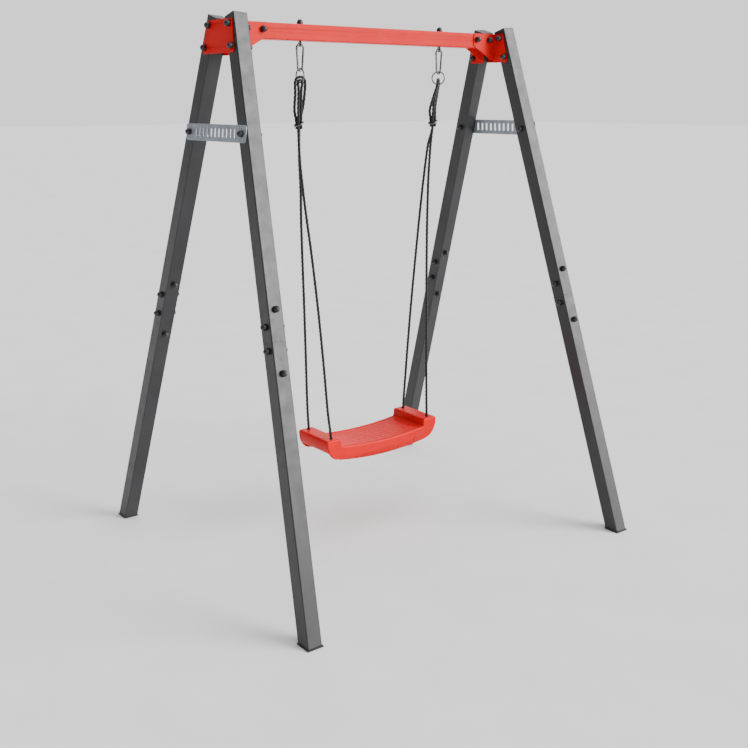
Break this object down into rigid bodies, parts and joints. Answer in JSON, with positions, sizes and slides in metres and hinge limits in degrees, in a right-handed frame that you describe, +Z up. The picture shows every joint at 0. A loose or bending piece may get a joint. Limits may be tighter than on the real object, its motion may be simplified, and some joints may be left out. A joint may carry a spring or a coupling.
{
  "type": "swing set",
  "caption": "Free-standing garden swing: two A-frames of square tube, a crossbeam, and a moulded seat hung on ropes with snap hooks and rings.",
  "frame": {"origin": "on the ground under the middle of the crossbeam", "axes": "+X along the crossbeam to the right A-frame, +Y the rearward direction of swinging, +Z up"},
  "size_m": [1.4138, 1.2174, 1.7678],
  "materials": {
    "red_powder_coat": "smooth gloss powder coat",
    "graphite_powder_coat": "fine-texture satin powder coat",
    "galvanised_plate": "dull zinc sheet",
    "zinc_tube": "zinc-plated tube",
    "black_plastic": "moulded black plastic",
    "zinc_fasteners": "zinc plating",
    "bright_steel": "bright plated wire",
    "black_rope": "twisted polyethylene rope",
    "red_plastic": "moulded polyethylene"
  },
  "bodies": {
    "frame": {"beam": "red_powder_coat", "upper_leg_front_left": "graphite_powder_coat", "upper_leg_front_right": "graphite_powder_coat", "upper_leg_rear_left": "graphite_powder_coat", "upper_leg_rear_right": "graphite_powder_coat", "lower_leg_front_left": "graphite_powder_coat", "lower_leg_front_right": "graphite_powder_coat", "lower_leg_rear_left": "graphite_powder_coat", "lower_leg_rear_right": "graphite_powder_coat", "leg_sleeves": "zinc_tube", "leg_top_plugs": "black_plastic", "foot_front_left": "black_plastic", "foot_front_right": "black_plastic", "foot_rear_left": "black_plastic", "foot_rear_right": "black_plastic", "corner_plate_left": "red_powder_coat", "corner_plate_right": "red_powder_coat", "cross_plate_left": "galvanised_plate", "cross_plate_right": "galvanised_plate", "bracket_front_left": "red_powder_coat", "bracket_front_right": "red_powder_coat", "bracket_rear_left": "red_powder_coat", "bracket_rear_right": "red_powder_coat", "plate_bolts": "zinc_fasteners", "bracket_bolts": "zinc_fasteners", "cross_plate_bolts": "zinc_fasteners", "splice_side_bolts": "zinc_fasteners", "splice_face_bolts": "zinc_fasteners", "hex_nuts": "zinc_fasteners", "washers": "zinc_fasteners", "plate_bolt_caps": "black_plastic", "bracket_bolt_caps": "black_plastic", "cross_bolt_caps": "black_plastic", "side_bolt_caps": "black_plastic", "face_bolt_caps": "black_plastic", "eye_bolt_left": "zinc_fasteners", "eye_bolt_right": "zinc_fasteners", "eye_bolt_nuts": "zinc_fasteners", "eye_bolt_washers": "zinc_fasteners", "eye_bolt_caps": "black_plastic"},
    "swing": {"snap_hook_left": "bright_steel", "snap_hook_right": "bright_steel", "gate_pins": "bright_steel", "hanging_ring_left": "bright_steel", "hanging_ring_right": "bright_steel", "rope_front_left": "black_rope", "rope_rear_left": "black_rope", "rope_front_right": "black_rope", "rope_rear_right": "black_rope", "gather_ring_left": "bright_steel", "gather_ring_right": "bright_steel", "seat": "red_plastic", "seat_knots": "black_rope"},
    "gate_left": {"hook_gate_left": "bright_steel"},
    "gate_right": {"hook_gate_right": "bright_steel"}
  },
  "joints": [
    {"name": "swing_hinge", "type": "hinge", "parent": "frame", "child": "swing", "pos_m": [0, 0, 1.6853], "axis": [1, 0, 0], "range_deg": [-60, 60]},
    {"name": "gate_left_hinge", "type": "hinge", "parent": "swing", "child": "gate_left", "pos_m": [-0.30608, 0, 1.62013], "axis": [0, 1, 0], "range_deg": [0, 18], "stiffness_Nm_per_rad": 0.4, "springref_deg": -8.59},
    {"name": "gate_right_hinge", "type": "hinge", "parent": "swing", "child": "gate_right", "pos_m": [0.28792, 0, 1.62013], "axis": [0, 1, 0], "range_deg": [0, 18], "stiffness_Nm_per_rad": 0.4, "springref_deg": -8.59}
  ]
}
